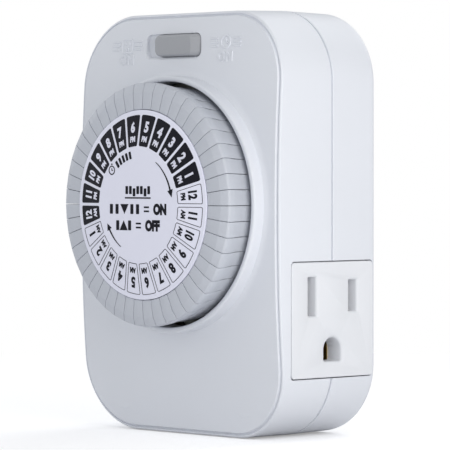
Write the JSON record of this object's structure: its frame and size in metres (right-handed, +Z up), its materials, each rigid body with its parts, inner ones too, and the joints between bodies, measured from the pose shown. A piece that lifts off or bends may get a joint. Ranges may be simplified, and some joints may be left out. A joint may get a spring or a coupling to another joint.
{
  "type": "plug-in timer switch",
  "caption": "Plug-in daily timer switch: a dial ringed with push-in trip pins, an override slide switch, a plug on the back and a grounded outlet on each side.",
  "frame": {"origin": "root of the ground pin, in the plane of the wall plate", "axes": "+Z up the housing, +Y into the wall along the plug, +X to the right seen from the front"},
  "size_m": [0.0662, 0.0625, 0.095],
  "materials": {
    "housing": "satin",
    "outlet_face": "satin",
    "dial": "satin",
    "label": "satin",
    "knob": "satin",
    "inner_plastic": "matte",
    "lead_plastic": "matte",
    "brass": "satin",
    "copper": "satin",
    "steel": "satin"
  },
  "bodies": {
    "housing": {"front_housing": "housing", "rear_housing": "housing", "outlet_face_right": "outlet_face", "outlet_face_left": "outlet_face", "housing_screws": "steel", "dial_retainer": "steel", "mechanism_frame": "inner_plastic", "mechanism_screws": "steel", "gearbox_cover": "inner_plastic", "motor_can": "steel", "motor_winding": "copper", "motor_leads": "lead_plastic", "lever_pin": "steel", "fixed_contact": "copper", "line_blade": "brass", "neutral_blade": "brass", "ground_pin": "brass", "line_busbar_in": "copper", "line_busbar_out": "copper", "neutral_busbar": "copper", "ground_busbar": "copper", "hot_clip_right": "brass", "hot_clip_left": "brass", "neutral_clip_right": "brass", "neutral_clip_left": "brass", "ground_clip_right": "brass", "ground_clip_left": "brass"},
    "dial": {"dial_drum": "dial", "dial_gear": "inner_plastic", "dial_label": "label"},
    "pinion": {"output_pinion": "brass"},
    "rotor": {"motor_rotor": "steel"},
    "lever": {"trip_lever": "inner_plastic", "lever_spring": "steel", "moving_contact": "copper"},
    "knob": {"override_knob": "knob"},
    "hour_00": {"pins_00h": "dial"},
    "hour_01": {"pins_01h": "dial"},
    "hour_02": {"pins_02h": "dial"},
    "hour_03": {"pins_03h": "dial"},
    "hour_04": {"pins_04h": "dial"},
    "hour_05": {"pins_05h": "dial"},
    "hour_06": {"pins_06h": "dial"},
    "hour_07": {"pins_07h": "dial"},
    "hour_08": {"pins_08h": "dial"},
    "hour_09": {"pins_09h": "dial"},
    "hour_10": {"pins_10h": "dial"},
    "hour_11": {"pins_11h": "dial"},
    "hour_12": {"pins_12h": "dial"},
    "hour_13": {"pins_13h": "dial"},
    "hour_14": {"pins_14h": "dial"},
    "hour_15": {"pins_15h": "dial"},
    "hour_16": {"pins_16h": "dial"},
    "hour_17": {"pins_17h": "dial"},
    "hour_18": {"pins_18h": "dial"},
    "hour_19": {"pins_19h": "dial"},
    "hour_20": {"pins_20h": "dial"},
    "hour_21": {"pins_21h": "dial"},
    "hour_22": {"pins_22h": "dial"},
    "hour_23": {"pins_23h": "dial"}
  },
  "joints": [
    {"name": "dial_turn", "type": "hinge", "parent": "housing", "child": "dial", "pos_m": [0, -0.024, 0.0039], "axis": [0, 1, 0], "continuous": true},
    {"name": "pinion_turn", "type": "hinge", "parent": "housing", "child": "pinion", "pos_m": [-0.00761, -0.024, 0.02021], "axis": [0, 1, 0], "continuous": true},
    {"name": "rotor_turn", "type": "hinge", "parent": "housing", "child": "rotor", "pos_m": [-0.012, -0.012, 0.025], "axis": [0, 1, 0], "continuous": true},
    {"name": "lever_trip", "type": "hinge", "parent": "housing", "child": "lever", "pos_m": [0.01704, -0.0184, 0.032], "axis": [1, 0, 0], "range_deg": [0, 14], "stiffness_Nm_per_rad": 0.0005, "springref_deg": -17.19},
    {"name": "override_slide", "type": "slide", "parent": "housing", "child": "knob", "axis": [-1, 0, 0], "range_m": [0, 0.002]},
    {"name": "push_00", "type": "slide", "parent": "dial", "child": "hour_00", "axis": [0, 1, 0], "range_m": [0, 0.003]},
    {"name": "push_01", "type": "slide", "parent": "dial", "child": "hour_01", "axis": [0, 1, 0], "range_m": [0, 0.003]},
    {"name": "push_02", "type": "slide", "parent": "dial", "child": "hour_02", "axis": [0, 1, 0], "range_m": [0, 0.003]},
    {"name": "push_03", "type": "slide", "parent": "dial", "child": "hour_03", "axis": [0, 1, 0], "range_m": [0, 0.003]},
    {"name": "push_04", "type": "slide", "parent": "dial", "child": "hour_04", "axis": [0, 1, 0], "range_m": [0, 0.003]},
    {"name": "push_05", "type": "slide", "parent": "dial", "child": "hour_05", "axis": [0, 1, 0], "range_m": [0, 0.003]},
    {"name": "push_06", "type": "slide", "parent": "dial", "child": "hour_06", "axis": [0, 1, 0], "range_m": [0, 0.003]},
    {"name": "push_07", "type": "slide", "parent": "dial", "child": "hour_07", "axis": [0, 1, 0], "range_m": [0, 0.003]},
    {"name": "push_08", "type": "slide", "parent": "dial", "child": "hour_08", "axis": [0, 1, 0], "range_m": [0, 0.003]},
    {"name": "push_09", "type": "slide", "parent": "dial", "child": "hour_09", "axis": [0, 1, 0], "range_m": [0, 0.003]},
    {"name": "push_10", "type": "slide", "parent": "dial", "child": "hour_10", "axis": [0, 1, 0], "range_m": [0, 0.003]},
    {"name": "push_11", "type": "slide", "parent": "dial", "child": "hour_11", "axis": [0, 1, 0], "range_m": [0, 0.003]},
    {"name": "push_12", "type": "slide", "parent": "dial", "child": "hour_12", "axis": [0, 1, 0], "range_m": [0, 0.003]},
    {"name": "push_13", "type": "slide", "parent": "dial", "child": "hour_13", "axis": [0, 1, 0], "range_m": [0, 0.003]},
    {"name": "push_14", "type": "slide", "parent": "dial", "child": "hour_14", "axis": [0, 1, 0], "range_m": [0, 0.003]},
    {"name": "push_15", "type": "slide", "parent": "dial", "child": "hour_15", "axis": [0, 1, 0], "range_m": [0, 0.003]},
    {"name": "push_16", "type": "slide", "parent": "dial", "child": "hour_16", "axis": [0, 1, 0], "range_m": [0, 0.003]},
    {"name": "push_17", "type": "slide", "parent": "dial", "child": "hour_17", "axis": [0, 1, 0], "range_m": [0, 0.003]},
    {"name": "push_18", "type": "slide", "parent": "dial", "child": "hour_18", "axis": [0, 1, 0], "range_m": [0, 0.003]},
    {"name": "push_19", "type": "slide", "parent": "dial", "child": "hour_19", "axis": [0, 1, 0], "range_m": [0, 0.003]},
    {"name": "push_20", "type": "slide", "parent": "dial", "child": "hour_20", "axis": [0, 1, 0], "range_m": [0, 0.003]},
    {"name": "push_21", "type": "slide", "parent": "dial", "child": "hour_21", "axis": [0, 1, 0], "range_m": [0, 0.003]},
    {"name": "push_22", "type": "slide", "parent": "dial", "child": "hour_22", "axis": [0, 1, 0], "range_m": [0, 0.003]},
    {"name": "push_23", "type": "slide", "parent": "dial", "child": "hour_23", "axis": [0, 1, 0], "range_m": [0, 0.003]}
  ],
  "couplings": [
    {"joint": "pinion_turn", "follows": "dial_turn", "ratio": -5}
  ]
}
